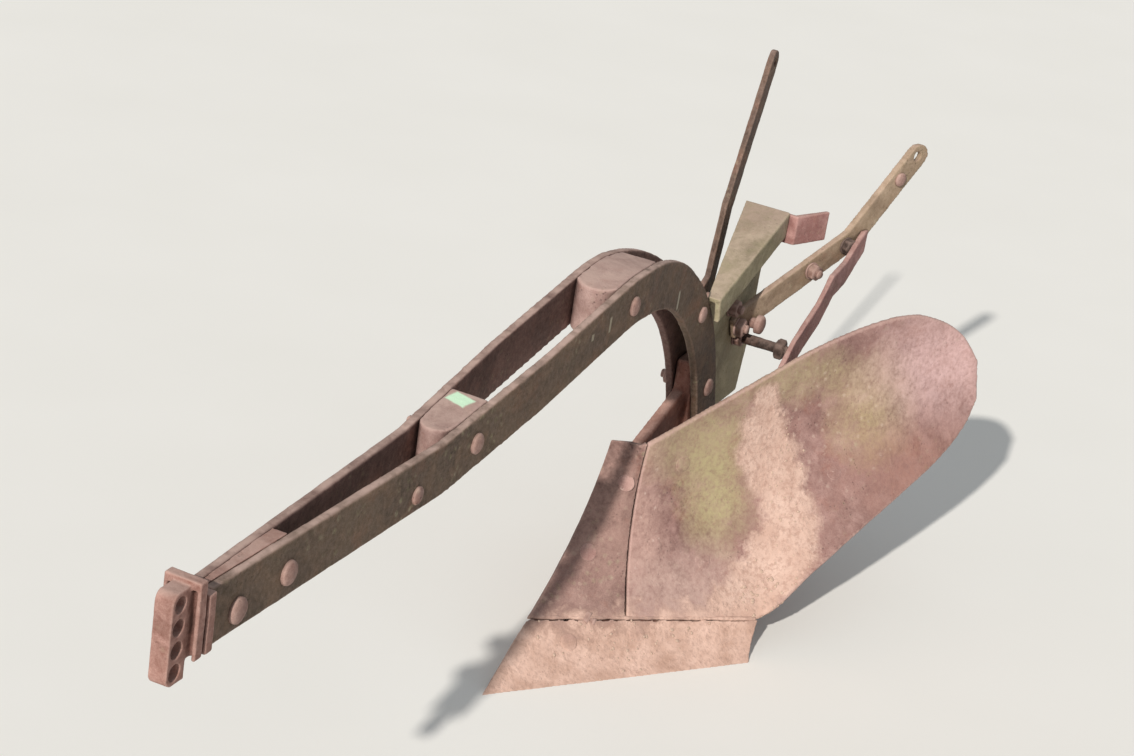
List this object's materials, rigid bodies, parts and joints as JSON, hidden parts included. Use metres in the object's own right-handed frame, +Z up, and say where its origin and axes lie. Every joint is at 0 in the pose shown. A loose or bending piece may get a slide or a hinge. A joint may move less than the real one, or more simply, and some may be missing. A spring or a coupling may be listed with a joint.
{
  "type": "moldboard plough",
  "caption": "Left-hand walking plough with a flat-bar steel beam bent down into the standard, a drilled hitch head, share, curved moldboard and handle straps.",
  "frame": {"origin": "on the sole of the landside bar, in the middle of its thickness, 480 mm behind the share's point", "axes": "+X the way the plough is pulled, +Y to its left, where the furrow slice is turned, +Z up"},
  "size_m": [1.5965, 0.3651, 0.644],
  "materials": {
    "bar_steel": "rusted, dark olive brown",
    "head_iron": "rusted, rough cast",
    "spacer_iron": "rusted, rough cast",
    "frog_iron": "rusted, rough cast",
    "share_steel": "rusted, with dried mud",
    "shin_steel": "rusted",
    "board_steel": "rusted, with lichen and dried mud",
    "landside_steel": "rusted",
    "strap_steel": "rusted"
  },
  "bodies": {
    "root": {"beam_bar_left": "bar_steel", "beam_bar_right": "bar_steel", "hitch_head": "head_iron", "middle_spacer": "spacer_iron", "rear_spacer": "spacer_iron", "frog": "frog_iron", "share": "share_steel", "shin": "shin_steel", "moldboard": "board_steel", "landside": "landside_steel", "landside_heel": "landside_steel", "moldboard_brace": "landside_steel", "handle_bracket": "strap_steel", "handle_strap_left": "strap_steel", "handle_strap_right": "strap_steel", "strap_cross_piece": "strap_steel", "moldboard_stay": "strap_steel"}
  },
  "joints": []
}
